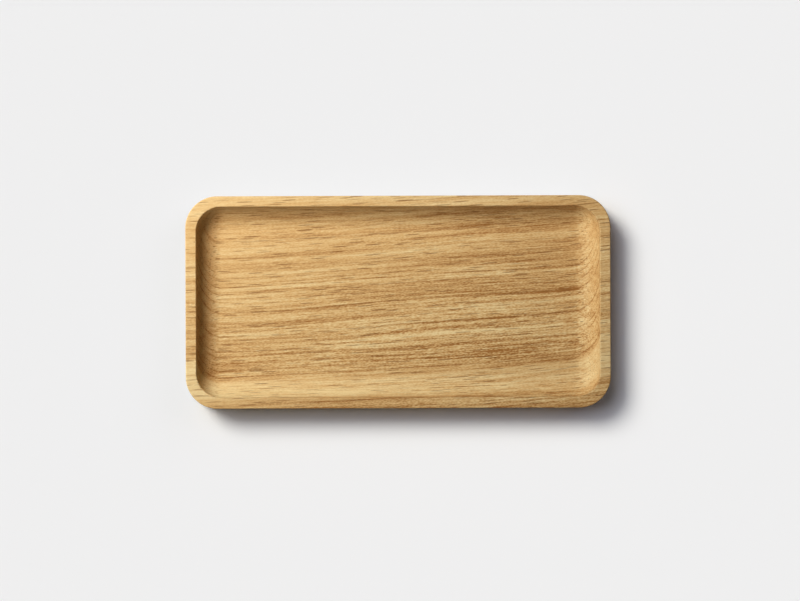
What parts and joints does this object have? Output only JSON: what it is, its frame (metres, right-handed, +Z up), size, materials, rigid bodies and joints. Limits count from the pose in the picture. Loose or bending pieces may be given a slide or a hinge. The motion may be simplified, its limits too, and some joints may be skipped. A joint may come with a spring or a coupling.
{
  "type": "catchall tray",
  "caption": "Shallow rectangular oak desk tray with rounded corners, a milled hollow whose walls run into the floor in a cove, and rubber feet underneath.",
  "frame": {"origin": "on the surface that the tray stands on, under its middle", "axes": "+X along the tray, +Y towards its rear long side, +Z up out of the hollow"},
  "size_m": [0.2, 0.1, 0.015],
  "materials": {
    "oak": "milled and sanded, clear oil, satin",
    "foot_rubber": "moulded, matt",
    "adhesive_film": "foam film, matt"
  },
  "bodies": {
    "root": {"tray_body": "oak", "foot_front_left": "foot_rubber", "foot_front_right": "foot_rubber", "foot_rear_left": "foot_rubber", "foot_rear_right": "foot_rubber", "adhesive_front_left": "adhesive_film", "adhesive_front_right": "adhesive_film", "adhesive_rear_left": "adhesive_film", "adhesive_rear_right": "adhesive_film"}
  },
  "joints": []
}
